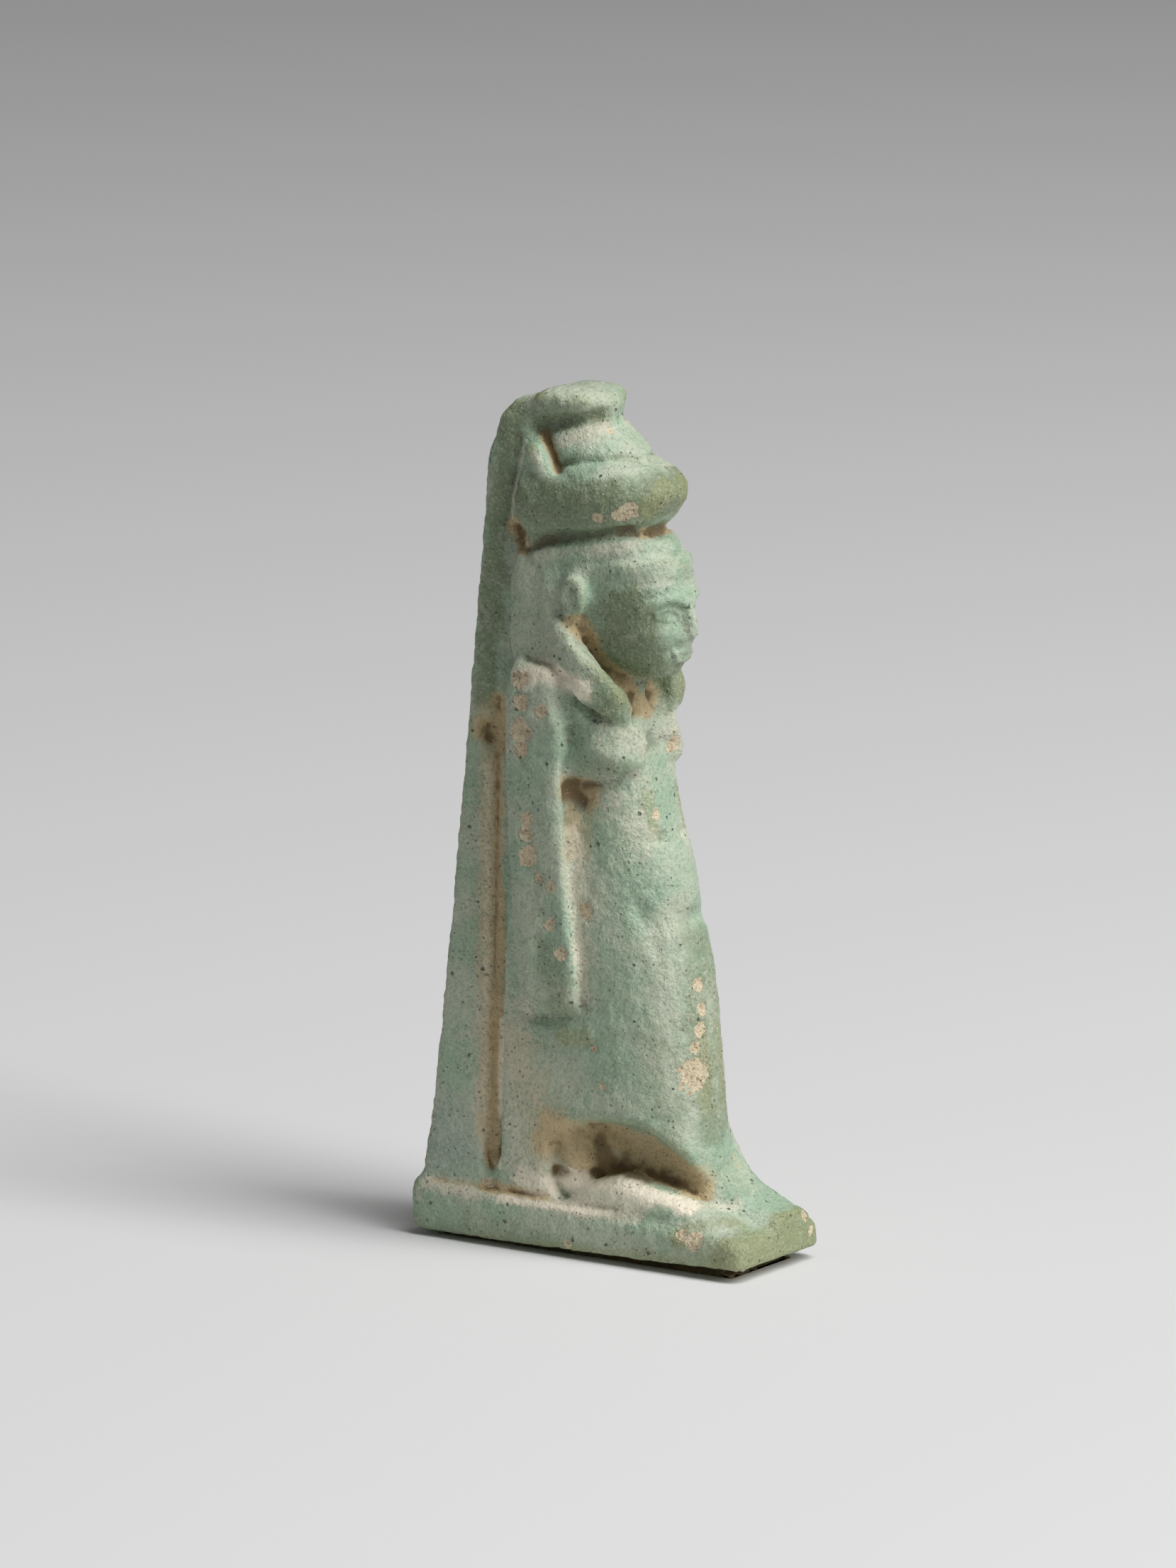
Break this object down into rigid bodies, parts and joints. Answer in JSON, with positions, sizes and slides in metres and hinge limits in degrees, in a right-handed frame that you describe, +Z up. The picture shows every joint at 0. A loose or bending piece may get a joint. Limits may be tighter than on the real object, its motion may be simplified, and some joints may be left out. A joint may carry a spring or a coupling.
{
  "type": "deity figurine",
  "caption": "Small moulded faience amulet of a goddess striding on a slab base against a tapering back pillar, with a long wig and a throne-shaped crown.",
  "frame": {"origin": "centre of the base's footprint, on the plane of its underside", "axes": "+Z up along the pillar, -Y the way the goddess faces, +X her left"},
  "size_m": [0.0076, 0.0188, 0.0411],
  "materials": {
    "faience": "worn pale blue-green glazed faience, satin, with brown soil in the recesses and sandy bare patches where the glaze is lost"
  },
  "bodies": {
    "root": {"figurine": "faience"}
  },
  "joints": []
}
